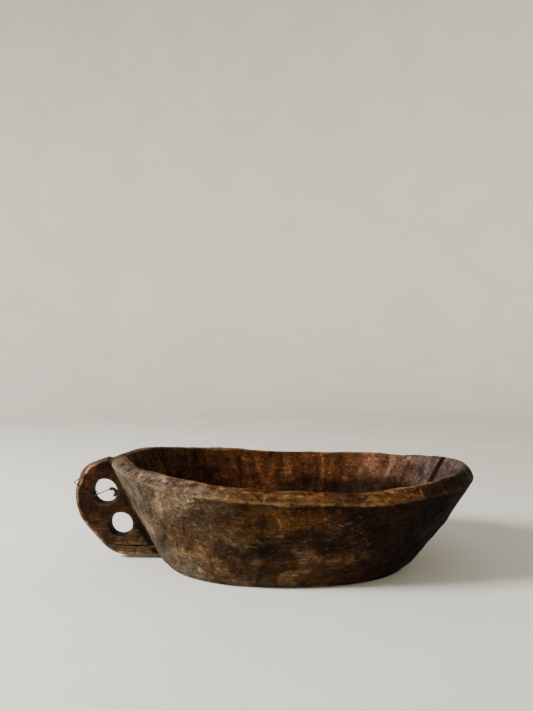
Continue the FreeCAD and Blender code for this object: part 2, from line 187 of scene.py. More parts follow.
def bowl_rows(angle):
    """The bowl's section at every angle, from the middle of the base over the rim to the floor."""
    zero = np.zeros_like(angle)
    rows = []
    for share in (0.0, 0.35, 0.7, 0.93):
        x, y = oval(0.0, angle, BASE_ROUND)
        rows.append((x * share, y * share, zero))
    for turn in np.radians([0, 30, 60, 90]):
        inset = BASE_ROUND * (1 - np.sin(turn))
        x, y = oval(0.0, angle, inset)
        rows.append((x, y, zero + BASE_ROUND * (1 - np.cos(turn))))
    rim_x, _ = oval(RIM_LEVEL, angle)
    lip = lip_height(rim_x)
    drop = bevel_drop(rim_x)
    edge = lip - drop
    for share in np.linspace(0, 1, 34)[1:]:
        z = BASE_ROUND + (edge - BASE_ROUND) * share
        x, y = oval(z, angle)
        rows.append((x, y, z))
    for share in np.linspace(0, 1, 10)[1:]:
        turn = share * math.pi / 2
        inset = BEVEL_WIDTH * (BEVEL_FLATNESS * share + (1 - BEVEL_FLATNESS) * (1 - math.cos(turn)))
        x, y = oval(edge, angle, inset)
        rise = drop * (BEVEL_FLATNESS * share + (1 - BEVEL_FLATNESS) * math.sin(turn))
        rows.append((x, y, edge + rise))
    for share in (0.5, 1.0):
        inset = BEVEL_WIDTH + (lip_inset(rim_x) - BEVEL_WIDTH) * share
        x, y = oval(edge, angle, inset)
        rows.append((x, y, lip))
    lip_x, lip_y = x, y
    corner = FLOOR_Z + FLOOR_ROUND
    corner_x, corner_y = oval(corner + zero, angle, WALL)
    for share in np.linspace(0, 1, 24)[1:]:
        rows.append((lip_x + (corner_x - lip_x) * share, lip_y + (corner_y - lip_y) * share,
                     lip + (corner - lip) * share))
    for turn in np.radians(np.linspace(0, 90, 14)[1:]):
        shrink = FLOOR_ROUND * FLOOR_ROUND_SPREAD * (1 - np.cos(turn))
        length = np.hypot(corner_x, corner_y)
        rows.append((corner_x * (1 - shrink / length), corner_y * (1 - shrink / length),
                     corner - FLOOR_ROUND * np.sin(turn)))
    floor_x, floor_y = rows[-1][0], rows[-1][1]
    for share in (0.75, 0.5, 0.25, 0.0):
        rows.append((floor_x * share, floor_y * share, zero + FLOOR_Z - FLOOR_DISH * (1 - share)))
    return [np.stack(np.broadcast_arrays(*row), 1) for row in rows]


def new_object(name, verts, faces):
    mesh = bpy.data.meshes.new(name)
    mesh.from_pydata([tuple(v) for v in verts], [], faces)
    mesh.validate()
    obj = bpy.data.objects.new(name, mesh)
    bpy.context.scene.collection.objects.link(obj)
    return obj


def make_bowl():
    count = 360
    angle = np.linspace(0, 2 * math.pi, count, endpoint=False)
    rows = bowl_rows(angle)
    verts = [rows[0][:1]] + rows[1:-1] + [rows[-1][:1]]
    verts = np.concatenate(verts) * MM
    faces = []
    last = len(verts) - 1
    for k in range(count):
        n = (k + 1) % count
        faces.append((0, 1 + n, 1 + k))
        top = 1 + (len(rows) - 3) * count
        faces.append((last, top + k, top + n))
    for row in range(len(rows) - 3):
        low = 1 + row * count
        for k in range(count):
            n = (k + 1) % count
            faces.append((low + k, low + n, low + count + n, low + count + k))
    return new_object("bowl_form", verts, faces)


def arc_points(arc, start, end, count):
    x, z, radius = arc
    turns = np.radians(np.linspace(start, end, count))
    return [(x + radius * math.cos(a), z + radius * math.sin(a)) for a in turns]


def grip_outline():
    """The plate's outline in X and Z, from its root over the top and round to the foot."""
    points = [ROOT_TOP]
    points += arc_points(CROWN, 104, 156, 10)
    points += arc_points(BULGE, 158, 222, 22)
    points += arc_points(HEEL, 222, 270, 12)
    points += [ROOT_FOOT]
    return np.array(points)


def make_grip():
    """The grip plate: its outline, drawn in a little toward each face and pared at the crown."""
    outline = grip_outline()
    count = len(outline)
    ahead, behind = np.roll(outline, -1, 0), np.roll(outline, 1, 0)
    tangent = (ahead - behind) / np.linalg.norm(ahead - behind, axis=1)[:, None]
    inward = np.stack([-tangent[:, 1], tangent[:, 0]], 1)
    inward[0] = inward[-1] = (0, 0)
    sections = [(-GRIP_HALF, GRIP_EASE), (-GRIP_HALF + 0.6, 3.0), (-GRIP_HALF + 2.2, 1.2),
                (-GRIP_HALF + 5, 0.2), (0, 0), (GRIP_HALF - 5, 0.2), (GRIP_HALF - 2.2, 1.2),
                (GRIP_HALF - 0.6, 3.0), (GRIP_HALF, GRIP_EASE)]
    height = outline[:, 1]
    facet = step(*FACET_LOW, height) * step(*reversed(FACET_HIGH), height)
    verts, faces = [], []
    for y, inset in sections:
        pared = inset + facet * (max(inset, FACET_FROM_Y - y) - inset)
        for x, z in outline + inward * pared[:, None]:
            verts.append((x * MM, y * MM, z * MM))
    for row in range(len(sections) - 1):
        for k in range(count):
            n = (k + 1) % count
            a, b = row * count, (row + 1) * count
            faces.append((a + k, a + n, b + n, b + k))
    faces.append(tuple(reversed(range(count))))
    faces.append(tuple((len(sections) - 1) * count + k for k in range(count)))
    obj = new_object("grip_form", verts, faces)
    recalculate_normals(obj)
    return obj


def recalculate_normals(obj):
    bm = bmesh.new()
    bm.from_mesh(obj.data)
    bmesh.ops.recalc_face_normals(bm, faces=bm.faces)
    bm.to_mesh(obj.data)
    bm.free()


def hole_cutter(hole):
    """A round bar with flared ends, for a finger hole with worn mouths."""
    x, z, radius = hole
    count = 64
    verts, faces = [], []
    for y, flare in HOLE_FLARE:
        for k in range(count):
            a = 2 * math.pi * k / count
            r = radius + flare
            verts.append(((x + r * math.cos(a)) * MM, y * MM, (z + r * math.sin(a)) * MM))
    for row in range(len(HOLE_FLARE) - 1):
        for k in range(count):
            n = (k + 1) % count
            a, b = row * count, (row + 1) * count
            faces.append((a + k, a + n, b + n, b + k))
    faces.append(tuple(range(count)))
    faces.append(tuple((len(HOLE_FLARE) - 1) * count + k for k in reversed(range(count))))
    obj = new_object("hole_cutter", verts, faces)
    recalculate_normals(obj)
    return obj


def apply_modifiers(obj):
    graph = bpy.context.evaluated_depsgraph_get()
    mesh = bpy.data.meshes.new_from_object(obj.evaluated_get(graph))
    obj.modifiers.clear()
    old = obj.data
    obj.data = mesh
    bpy.data.meshes.remove(old)


def boolean(obj, other, operation, solver="EXACT"):
    """Joins other to obj, or cuts it out, and removes other."""
    mod = obj.modifiers.new(operation.lower(), "BOOLEAN")
    mod.operation = operation
    mod.object = other
    mod.solver = solver
    apply_modifiers(obj)
    bpy.data.objects.remove(other)


def crack_cutter(name, path, opening, across):
    """A thin ragged wedge. The path is its spine; it opens from its first line to its last."""
    verts, faces = [], []
    count = len(path[0])
    for row, line in enumerate(path):
        half = 0.5 * (opening[0] + (opening[1] - opening[0]) * row / (len(path) - 1))
        for side in (-1, 1):
            for k, point in enumerate(line):
                ragged = 0.7 * noise.noise(Vector(point) / 7) + 0.4 * noise.noise(Vector(point) / 2.5)
                taper = min(1.0, 3.0 * min(k + 0.3, count - 0.7 - k) / count)
                offset = Vector(across) * (ragged + side * half * taper)
                verts.append(tuple((Vector(point) + offset) * MM))
    width = 2 * count
    for row in range(len(path) - 1):
        a, b = row * width, (row + 1) * width
        for k in range(count - 1):
            faces.append((a + k, a + k + 1, b + k + 1, b + k))
            faces.append((a + count + k, b + count + k, b + count + k + 1, a + count + k + 1))
        faces.append((a, b, b + count, a + count))
        faces.append((a + count - 1, a + 2 * count - 1, b + 2 * count - 1, b + count - 1))
    top = (len(path) - 1) * width
    for k in range(count - 1):
        faces.append((k, k + count, k + count + 1, k + 1))
        faces.append((top + k, top + k + 1, top + k + count + 1, top + k + count))
    obj = new_object(name, verts, faces)
    recalculate_normals(obj)
    return obj


def rim_crack():
    """A drying crack down the far end wall, in an upright plane along the grain."""
    path = []
    for t in np.linspace(0, 1, 10):
        low_x = RIM_CRACK_FOOT_X + RIM_CRACK_SLOPE * t
        z = RIM_CRACK_FOOT_Z + RIM_CRACK_HEIGHT * t
        path.append([(low_x + (RIM_CRACK_END_X - low_x) * s, RIM_CRACK_Y + RIM_CRACK_LEAN * t, z)
                     for s in np.linspace(0, 1, 18)])
    return crack_cutter("rim_crack", path, RIM_CRACK_OPENING, (0, 1, 0))


def grip_crack():
    """A long shallow crack along the grip's foot, open on the near face."""
    path = []
    for y in GRIP_CRACK_DEPTHS:
        path.append([(GRIP_CRACK_X + GRIP_CRACK_LENGTH * s, y, GRIP_CRACK_Z - GRIP_CRACK_FALL * s)
                     for s in np.linspace(0, 1, 30)])
    return crack_cutter("grip_crack", path, GRIP_CRACK_OPENING, (0, 0, 1))


def make_wood():
    """Bowl and grip as one even mesh, fine enough to carve."""
    bowl, grip = make_bowl(), make_grip()
    recalculate_normals(bowl)
    for hole in (UPPER_HOLE, LOWER_HOLE):
        boolean(grip, hole_cutter(hole), "DIFFERENCE")
    boolean(bowl, grip, "UNION")
    mod = bowl.modifiers.new("remesh", "REMESH")
    mod.mode = "VOXEL"
    mod.voxel_size = VOXEL * MM
    apply_modifiers(bowl)
    bowl.name = "carved_wood"
    bowl.data.name = "carved_wood"
    return bowl


def waves(points, length, offset=0.0):
    """Smooth noise from about -1 to 1.

    length is its wavelength, for all axes or for each. Another offset gives other waves.
    """
    scaled = points / np.array(length, float) + offset
    return np.array([noise.noise(p) for p in scaled.tolist()]) * 1.6


def read_points(obj):
    count = len(obj.data.vertices)
    points = np.empty(count * 3)
    obj.data.vertices.foreach_get("co", points)
    normals = np.empty(count * 3)
    obj.data.vertices.foreach_get("normal", normals)
    return points.reshape(-1, 3) / MM, normals.reshape(-1, 3)


def write_points(obj, points):
    obj.data.vertices.foreach_set("co", (points * MM).ravel())
    obj.data.update()


def neighbour_mean(obj, values, rounds):
    """Values averaged over each vertex's neighbours, as many times as rounds says."""
    count = len(obj.data.vertices)
    ends = np.empty(len(obj.data.edges) * 2, int)
    obj.data.edges.foreach_get("vertices", ends)
    a, b = ends[0::2], ends[1::2]
    degree = np.bincount(a, minlength=count) + np.bincount(b, minlength=count)
    degree = np.maximum(degree, 1)
    result = values.astype(float)
    for _ in range(rounds):
        total = np.zeros_like(result)
        for axis in range(result.shape[1]):
            total[:, axis] = (np.bincount(a, result[b, axis], count)
                              + np.bincount(b, result[a, axis], count))
        result = 0.5 * result + 0.5 * total / degree[:, None]
    return result


def find_zones(points):
    """How far each vertex belongs to the inside, the rim's bevel, the grip and so on, 0 to 1."""
    x, y, z = points.T
    levels = [between(z, (BASE[0], BASE[i]), (WAIST[0], WAIST[i]), (TOP[0], TOP[i]))
              for i in (1, 2, 3)]
    half_length, half_width, shift = levels
    reach = np.sqrt(((x - shift) / half_length) ** 2 + (y / half_width) ** 2)
    depth = (reach - 1) * (half_length * half_width) ** 0.5
    below_lip = lip_height(x) - z
    grip = step(1.5, 5.0, depth) * step(-120, -150, x)
    inside = step(-9, -13, depth) * step(8, 14, z) * (1 - grip)
    drop = bevel_drop(x) + 1.3 * waves(points, 30, 8.0)
    bevel = step(1.5, -1.5, below_lip - drop) * (1 - inside) * (1 - grip)
    outside = (1 - inside) * (1 - bevel) * (1 - grip)
    return {"inside": inside, "bevel": bevel, "grip": grip, "outside": outside,
            "below_lip": below_lip, "drop": drop}


def rim_lift(x, y):
    """How far the lip rises above its even sag: it was trimmed by eye."""
    front = np.interp(x, [-215, -150, -110, -60, 0, 40, 80, 130, 225],
                      [-4, -2.4, 0, 1.6, 1.6, 2.4, -0.8, 0, 0.5])
    back = np.interp(x, [-215, -150, -60, 40, 120, 190, 225],
                     [-2, 1, 4, 4.5, 4, 1, 0.5])
    share = step(-60, 60, y)
    return front * (1 - share) + back * share


def carve(obj):
    """The hand tool's marks: waves, facets, flutes down the inside, chips and worn edges."""
    points, normals = read_points(obj)
    points = neighbour_mean(obj, points, 3)
    points[:, 2] = np.maximum(points[:, 2], 0)
    zones = find_zones(points)
    x, y, z = points.T
    # the lip's own waves fade out down the wall
    near_rim = step(45, 4, zones["below_lip"]) * (1 - zones["grip"])
    points[:, 2] += near_rim * (rim_lift(x, y) + 0.7 * waves(points, 26, 3.1))

    # how far the surface stands out: broad waves, flats left by the blade, then the grain
    amount = 1.3 * waves(points, 75) + 0.8 * waves(points, 32, 5.0)
    facets = waves(points, (44, 44, 30), 9.0)
    amount += 0.9 * np.round(facets * 2.2) / 2.2 * (0.4 + 0.6 * zones["outside"])
    amount += 0.28 * waves(points, (22, 9, 9), 2.0)
    # upright flutes left by a gouge inside
    around = np.arctan2(y / WIDTH_SHARE, x - 10) * MEAN_RADIUS
    flutes = np.abs(np.sin(around / FLUTE_WIDTH * math.pi + 2.2 * waves(points, 60, 7.0)))
    flutes = flutes * zones["inside"] * step(30, 50, z) * step(2, 12, zones["below_lip"])
    amount -= (0.8 - 0.5 * step(60, 130, x)) * flutes
    # less on the plate and the band; a ledge under the band; chips out of it
    quiet = 1 - 0.65 * zones["grip"] - 0.45 * zones["bevel"]
    past_band = zones["below_lip"] - zones["drop"]
    ledge = step(-0.5, 2.0, past_band) * step(17, 4, past_band) * zones["outside"]
    amount -= LEDGE_DEPTH * ledge * step(-165, -100, x) * step(170, 60, x)
    amount *= quiet * step(1.0, 12.0, z)
    amount -= CHIP_DEPTH * step(0.5, 0.8, waves(points, 8.5, 11.0)) * zones["bevel"]
    points += normals * amount[:, None]
    # the near side is drawn in a little beside the grip
    points[:, 0] += 2.8 * step(-120, -185, x) * step(-12, -50, y) * step(20, 45, z)
    points[:, 2] = np.maximum(points[:, 2], 0)
    write_points(obj, points)


def convexity(obj):
    """How far each vertex stands out of its surroundings, in two widths: edges and hollows."""
    points, normals = read_points(obj)
    narrow = np.sum((points - neighbour_mean(obj, points, 10)) * normals, 1)
    wide = np.sum((points - neighbour_mean(obj, points, 60)) * normals, 1)
    return narrow, wide


def add_attribute(obj, name, values):
    layer = obj.data.attributes.new(name, "FLOAT", "POINT")
    layer.data.foreach_set("value", values.astype(np.float32))


def add_colour(obj, name, colours):
    layer = obj.data.attributes.new(name, "FLOAT_COLOR", "POINT")
    full = np.concatenate([colours, np.ones((len(colours), 1))], 1)
    layer.data.foreach_set("color", full.astype(np.float32).ravel())


def linear(*srgb):
    """A colour given as 0 to 255 per channel, as linear light."""
    values = np.array(srgb) / 255
    return np.where(values <= 0.04045, values / 12.92, ((values + 0.055) / 1.055) ** 2.4)


def blend(base, colour, amount):
    """base moved toward colour by each vertex's amount."""
    return base + (np.array(colour) - base) * np.clip(amount, 0, 1)[:, None]


def patch(points, centre, size, ragged=0.45):
    """A soft blotch in the wood's tone, with an uneven edge."""
    reach = np.sqrt(np.sum(((points - np.array(centre)) / np.array(size)) ** 2, 1))
    reach = reach + ragged * waves(points, 24, centre[0] * 0.01) + 0.3 * waves(points, 8, 4.0)
    return step(1.25, 0.55, reach)


# the wood's tones
GREY_BROWN = linear(74, 65, 52)
DUSTY = linear(98, 84, 64)
SLATE = linear(44, 33, 22)
OLIVE = linear(50, 30, 7)
WARM = linear(46, 27, 10)
RED_BROWN = linear(26, 10, 3)
NEAR_BLACK = linear(12, 5, 2)
HONEY = linear(96, 66, 34)
RUSSET = linear(60, 36, 17)
TAN = linear(80, 69, 58)
OCHRE = linear(88, 60, 24)
SANDY = linear(88, 70, 46)
PITCH = linear(6, 2, 1)
CHESTNUT = linear(78, 46, 22)
DULL_BROWN = linear(58, 38, 25)
ROSY = linear(88, 61, 43)
ASHEN = linear(70, 57, 52)
FLOOR_BROWN = linear(52, 36, 26)
RED_CRACK_SHADE = linear(34, 9, 5)
WEATHERED = linear(62, 48, 36)
STRAW = linear(150, 122, 88)
CRACK_SHADE = linear(28, 10, 5)
PLATE_BROWN = linear(38, 20, 6)
PINKISH = linear(84, 60, 46)
BARE_WOOD = linear(84, 62, 42)
FOOT_GREY = linear(66, 52, 38)
HOLE_SHADE = linear(2, 1, 1)
PALE_LINE = linear(146, 118, 94)
SHADOW = linear(6, 3, 2)
SLIT_SHADE = linear(10, 5, 3)
PALE_FLECK = linear(158, 132, 100)
SOOT = linear(34, 26, 20)
WORN_EDGE = linear(150, 118, 84)
HOLLOW_SHADE = linear(16, 9, 5)


def outside_tone(points, mottle, streak):
    """The outer wall: dusty by the grip, stained in the middle, red and dark at the far end."""
    x, _, z = points.T
    tone = np.tile(WARM, (len(points), 1))
    tone = blend(tone, GREY_BROWN, step(-70, -150, x + 25 * mottle))
    # darker toward the far end: dark stain and painted shade on the end turned from the light
    tone = blend(tone, NEAR_BLACK, 0.5 * step(90, 150, x + 20 * mottle))
    # stains on the near side: each patch has a centre and its half sizes
    tone = blend(tone, SLATE, 0.85 * patch(points, (-80, -125, 68), (38, 60, 38)))
    tone = blend(tone, OLIVE, 0.9 * patch(points, (-8, -130, 78), (62, 60, 26)))
    tone = blend(tone, RED_BROWN, step(25, 100, x + 30 * mottle))
    # dark stain and painted shade over the far half below the band, turned from the light
    tone = blend(tone, NEAR_BLACK, 0.8 * step(50, 170, x + 30 * streak) * step(115, 75, z))
    # pale rubbed spots
    tone = blend(tone, DUSTY, 0.6 * patch(points, (-142, -100, 86), (12, 50, 8)))
    broken = step(-0.1, 0.5, waves(points, 8, 8.0))
    tone = blend(tone, OCHRE, 0.8 * broken * patch(points, (66, -120, 33), (26, 60, 8)))
    tone = blend(tone, OCHRE, 0.7 * patch(points, (29, -120, 36), (7, 60, 4)))
    # soot and sand in clouds all round the wall
    cloud = waves(points, (30, 30, 24), 3.0)
    tone = blend(tone, SLATE, 0.6 * step(0.1, 0.55, cloud) * step(120, 60, x))
    low = step(60, 0, x) * step(74, 44, z)
    tone = blend(tone, SANDY, 0.5 * step(-0.05, -0.5, cloud) * low)
    # two dark patches low on the near side of the wall
    tone = blend(tone, NEAR_BLACK, 0.8 * patch(points, (-32, -115, 45), (24, 60, 12)))
    tone = blend(tone, NEAR_BLACK, 0.6 * patch(points, (30, -115, 62), (46, 60, 16)))
    # the far end darkens, most of all low down: dark stain and painted shade on the end turned from the
    # light
    tone = blend(tone, PITCH, 0.75 * step(120, 180, x + 12 * mottle))
    tone = blend(tone, PITCH, 0.6 * step(70, 120, x + 12 * mottle) * step(70, 45, z))
    # a rubbed line along the foot
    tone = blend(tone, TAN, 0.4 * step(15, 7, z + 4 * streak) * step(0, -90, x))
    return tone


def inside_tone(points, mottle, crack):
    """The hollow: dull by the grip, rosy and ashen at the far end, dark low down."""
    x, _, z = points.T
    within = np.tile(CHESTNUT, (len(points), 1))
    within = blend(within, DULL_BROWN, step(-50, -140, x + 25 * mottle))
    within = blend(within, ROSY, step(70, 150, x + 25 * mottle))
    within = blend(within, ASHEN, step(150, 205, x + 20 * mottle))
    within = blend(within, NEAR_BLACK, 0.8 * step(88, 68, z + 7 * mottle) * step(-60, 10, x))
    within = blend(within, FLOOR_BROWN, 0.6 * step(40, 24, z))
    # painted shade along the crack
    return blend(within, RED_CRACK_SHADE, crack)


def band_tone(points, mottle, streak, below_lip):
    """The worn band round the rim."""
    x, y, _ = points.T
    band = np.tile(HONEY, (len(points), 1))
    band = blend(band, TAN, step(-55, -125, x + 30 * mottle))
    band = blend(band, WEATHERED, step(-165, -205, x + 12 * mottle))
    stain = step(0.05, 0.5, waves(points, 11, 2.0)) * step(-40, -130, x)
    band = blend(band, SLATE, 0.8 * stain)
    band = blend(band, RUSSET, step(60, 150, x + 30 * mottle))
    # darker toward the far end: dark stain and painted shade on the end turned from the light
    band = blend(band, RED_BROWN, 0.85 * step(150, 215, x + 20 * mottle))
    band = blend(band, NEAR_BLACK, 0.75 * step(135, 200, x + 14 * streak))
    # dark streaks along the rim, and a darker far side
    band = blend(band, RED_BROWN, 0.5 * step(0.0, 0.6, waves(points, (34, 6, 5), 13.0)))
    band = blend(band, RED_BROWN, 0.6 * step(0.1, 0.9, streak))
    band = blend(band, RED_BROWN, 0.55 * step(20, 90, y))
    # pale worn specks and painted highlight along the top of the lip
    flecks = step(0.3, 0.6, waves(points, 5, 21.0)) * step(-90, -40, x) * step(190, 120, x)
    band = blend(band, STRAW, 0.6 * flecks * step(3.5, 1.5, below_lip))
    return band


def hole_mouths(points, flare_from, flare_to):
    """1 within both finger holes' mouths, fading out from one distance past the hole to another."""
    x, _, z = points.T
    return sum(step(radius + flare_to, radius + flare_from, np.hypot(x - hole_x, z - hole_z))
               for hole_x, hole_z, radius in (UPPER_HOLE, LOWER_HOLE))


def grip_tone(points, normals, mottle, streak, mouths):
    """The plate: pale where its edges are worn, with painted shade, near black, in the holes and where
    it meets the bowl.
    """
    x, y, z = points.T
    plate = np.tile(PLATE_BROWN, (len(points), 1))
    # faces that lean away from the plate's near side are bare
    facet = step(-0.93, -0.8, normals[:, 1]) * step(0.0, -0.25, normals[:, 1]) * step(-215, -225, x)
    plate = blend(plate, PINKISH, 0.7 * facet * step(86, 96, z))
    plate = blend(plate, BARE_WOOD, 0.4 * facet * step(96, 86, z))
    plate = blend(plate, FOOT_GREY, step(46, 18, z + 8 * mottle))
    # painted shade, near black, deep inside both finger holes
    tunnel_shade = hole_mouths(points, 0.4, 1.6) * step(GRIP_HALF - 0.4, GRIP_HALF - 1.6, np.abs(y))
    plate = blend(plate, HOLE_SHADE, tunnel_shade)
    # a thin pale line where the near face starts to lean
    worn = step(-0.99, -0.96, normals[:, 1]) * step(-0.74, -0.84, normals[:, 1]) * step(-170, -190, x)
    worn = worn * (1 - mouths) * step(0.9, 0.2, np.abs(streak))
    plate = blend(plate, PALE_LINE, 0.5 * worn)
    # painted shade where the plate runs in behind the bowl, and at the top of its root
    crevice_shade = step(0, 3, x + 187.5 - 0.63 * (40 - z)) * step(46, 38, z) * step(0, -4, y)
    notch_shade = patch(points, (-218, -10, 117), (4, 6, 5), 0.1)
    plate = blend(plate, SHADOW, 0.95 * np.maximum(crevice_shade, notch_shade))
    return plate


def paint(obj):
    """Gives every vertex its tone, and says where edges, hollows and dust are."""
    points, normals = read_points(obj)
    zones = find_zones(points)
    x, y, z = points.T
    mottle = waves(points, (60, 40, 40), 1.0)
    streak = waves(points, (90, 14, 10), 6.0)
    # painted shade in and beside the rim's crack
    crack = step(5.0, 3.0, np.abs(y - RIM_CRACK_Y - RIM_CRACK_LEAN / 2))
    crack = crack * step(-6, 2, z - RIM_CRACK_FOOT_Z) * step(-6, 9, x - RIM_CRACK_FOOT_X)
    mouths = hole_mouths(points, 3.5, 5) * zones["grip"]

    tone = outside_tone(points, mottle, streak)
    tone = blend(tone, inside_tone(points, mottle, crack), zones["inside"])
    tone = blend(tone, band_tone(points, mottle, streak, zones["below_lip"]), zones["bevel"])
    # painted shade along the rim's crack outside and on the band
    tone = blend(tone, CRACK_SHADE, crack * (1 - zones["grip"]))
    tone = blend(tone, grip_tone(points, normals, mottle, streak, mouths), zones["grip"])
    # painted shade along the crack at the grip's foot
    along = x - GRIP_CRACK_X
    slit_shade = step(2.2, 0.8, np.abs(z - GRIP_CRACK_Z + GRIP_CRACK_FALL / GRIP_CRACK_LENGTH * along))
    slit_shade = slit_shade * step(-2, 4, along) * step(-2, -10, along - GRIP_CRACK_LENGTH) * step(-4, -6, y)
    tone = blend(tone, SLIT_SHADE, slit_shade * zones["grip"])
    add_colour(obj, "tone", tone)

    narrow, wide = convexity(obj)
    add_attribute(obj, "edge", step(0.18, 0.6, narrow) * (1 - 0.75 * mouths) * step(220, 90, x))
    dust = step(-60, -150, x + 30 * mottle) * (1 - zones["inside"]) * (1 - zones["grip"])
    dust = np.maximum(dust, 0.38 * zones["outside"] * step(170, 60, x))
    add_attribute(obj, "dust", dust)
    # hollow: where the surface dips in, darkened in the material as painted shade
    add_attribute(obj, "hollow", step(-0.05, -0.6, wide))
    add_attribute(obj, "inside", zones["inside"])


class Nodes:
    """Short calls for building a material's nodes."""

    def __init__(self, name):
        self.material = bpy.data.materials.new(name)
        self.material.use_nodes = True
        self.tree = self.material.node_tree
        self.shader = self.tree.nodes["Principled BSDF"]

    def add(self, kind, **settings):
        node = self.tree.nodes.new(kind)
        for key, value in settings.items():
            setattr(node, key, value)
        return node

    def put(self, value, socket):
        if hasattr(value, "is_output"):
            self.tree.links.new(value, socket)
        else:
            socket.default_value = value

    def attribute(self, name, output="Fac"):
        return self.add("ShaderNodeAttribute", attribute_name=name).outputs[output]

    def coordinates(self, scale):
        place = self.add("ShaderNodeTexCoord").outputs["Object"]
        mapping = self.add("ShaderNodeMapping")
        self.put(place, mapping.inputs["Vector"])
        mapping.inputs["Scale"].default_value = scale
        return mapping.outputs["Vector"]

    def noise(self, scale, detail=4.0, roughness=0.55, distortion=0.0):
        """Noise whose scale is in waves per metre along each axis."""
        node = self.add("ShaderNodeTexNoise")
        self.put(self.coordinates(scale), node.inputs["Vector"])
        node.inputs["Scale"].default_value = 1.0
        node.inputs["Detail"].default_value = detail
        node.inputs["Roughness"].default_value = roughness
        node.inputs["Distortion"].default_value = distortion
        return node.outputs["Fac"]

    def maths(self, operation, first, second):
        node = self.add("ShaderNodeMath", operation=operation)
        for value, socket in zip((first, second), node.inputs):
            self.put(value, socket)
        return node.outputs["Value"]

    def remap(self, value, low, high, to_low=0.0, to_high=1.0):
        node = self.add("ShaderNodeMapRange", interpolation_type="SMOOTHSTEP")
        for entry, socket in zip((value, low, high, to_low, to_high), node.inputs):
            self.put(entry, socket)
        return node.outputs["Result"]

    def mix(self, amount, first, second, blend_type="MIX"):
        node = self.add("ShaderNodeMix", data_type="RGBA", blend_type=blend_type)
        self.put(amount, node.inputs[0])
        self.put(first, node.inputs[6])
        self.put(second, node.inputs[7])
        return node.outputs[2]

    def bump(self, height, distance, strength, before=None):
        node = self.add("ShaderNodeBump")
        node.inputs["Distance"].default_value = distance
        node.inputs["Strength"].default_value = strength
        self.put(height, node.inputs["Height"])
        if before is not None:
            self.put(before, node.inputs["Normal"])
        return node.outputs["Normal"]


def wood_material():
    """Old wood: the painted tone under grain, clouds, drips, specks and scratches."""
    n = Nodes("worn_wood")
    tone = n.attribute("tone", "Color")
    edge, hollow, inside, dust = [n.attribute(name) for name in ("edge", "hollow", "inside", "dust")]
    fibres = n.noise((22, 520, 520), detail=5, roughness=0.62, distortion=0.25)
    bands = n.noise((9, 95, 95), detail=4, roughness=0.5, distortion=0.6)
    blotches = n.noise((34, 34, 34), detail=6, roughness=0.68, distortion=0.4)
    clouds = n.noise((14, 14, 20), detail=4, roughness=0.6)
    specks = n.noise((150, 330, 330), detail=5, roughness=0.8)
    scratches = n.noise((45, 700, 700), detail=3, roughness=0.7, distortion=0.8)
    drips = n.noise((75, 75, 20), detail=5, roughness=0.65, distortion=0.5)
    flecks = n.noise((90, 480, 300), detail=6, roughness=0.75, distortion=0.6)
    pores = n.noise((70, 1500, 1500), detail=2, roughness=0.5)

    dark, light, warm = (0.34, 0.30, 0.28, 1), (1.75, 1.65, 1.5, 1), (1.5, 1.42, 1.3, 1)

    def shade(colour, amount, factor):
        return n.mix(amount, colour, n.mix(1.0, colour, factor, "MULTIPLY"))

    colour = n.mix(1.0, tone, (0.84, 0.85, 0.89, 1), "MULTIPLY")
    colour = shade(colour, n.remap(bands, 0.42, 0.66, 0.0, 0.45), dark)
    colour = shade(colour, n.remap(clouds, 0.40, 0.66), light)
    colour = shade(colour, n.remap(fibres, 0.35, 0.68, 0.0, 0.7), warm)
    colour = shade(colour, n.remap(drips, 0.54, 0.66, 0.0, 0.8), (1.9, 1.95, 2.05, 1))
    colour = shade(colour, n.remap(drips, 0.47, 0.36, 0.0, 0.8), dark)
    colour = shade(colour, n.remap(blotches, 0.53, 0.66, 0.0, 0.85), dark)
    colour = shade(colour, n.remap(blotches, 0.44, 0.34), (2.1, 2.1, 2.1, 1))
    colour = shade(colour, n.remap(specks, 0.54, 0.64), (2.3, 2.35, 2.5, 1))
    colour = shade(colour, n.remap(specks, 0.46, 0.37), dark)
    colour = shade(colour, n.remap(scratches, 0.60, 0.68), (2.4, 2.5, 2.8, 1))
    colour = shade(colour, n.remap(scratches, 0.40, 0.31), dark)
    pale = n.maths("MULTIPLY", dust, n.remap(flecks, 0.58, 0.64, 0.0, 0.6))
    colour = n.mix(pale, colour, (*PALE_FLECK, 1))
    sooty = n.maths("MULTIPLY", dust, n.remap(flecks, 0.43, 0.37, 0.0, 0.7))
    colour = n.mix(sooty, colour, (*SOOT, 1))
    worn = n.maths("MULTIPLY", edge, n.remap(blotches, 0.6, 0.4, 0.3, 1.0))
    colour = n.mix(n.maths("MULTIPLY", worn, 0.5), colour, (*WORN_EDGE, 1))
    # painted shade in the hollows, where the surface dips in
    colour = n.mix(n.maths("MULTIPLY", hollow, 0.65), colour, (*HOLLOW_SHADE, 1))
    n.put(colour, n.shader.inputs["Base Color"])

    rough = n.remap(blotches, 0.3, 0.7, 0.46, 0.70)
    rough = n.maths("ADD", rough, n.remap(fibres, 0.3, 0.7, -0.06, 0.08))
    rough = n.maths("ADD", rough, n.maths("MULTIPLY", inside, 0.10))
    n.put(rough, n.shader.inputs["Roughness"])
    n.shader.inputs["Specular IOR Level"].default_value = 0.05

    normal = n.bump(blotches, 0.002, 0.7)
    normal = n.bump(fibres, 0.001, 0.7, normal)
    normal = n.bump(pores, 0.0004, 0.6, normal)
    normal = n.bump(specks, 0.0012, 0.8, normal)
    normal = n.bump(scratches, 0.0007, 0.7, normal)
    n.put(normal, n.shader.inputs["Normal"])
    return n.material


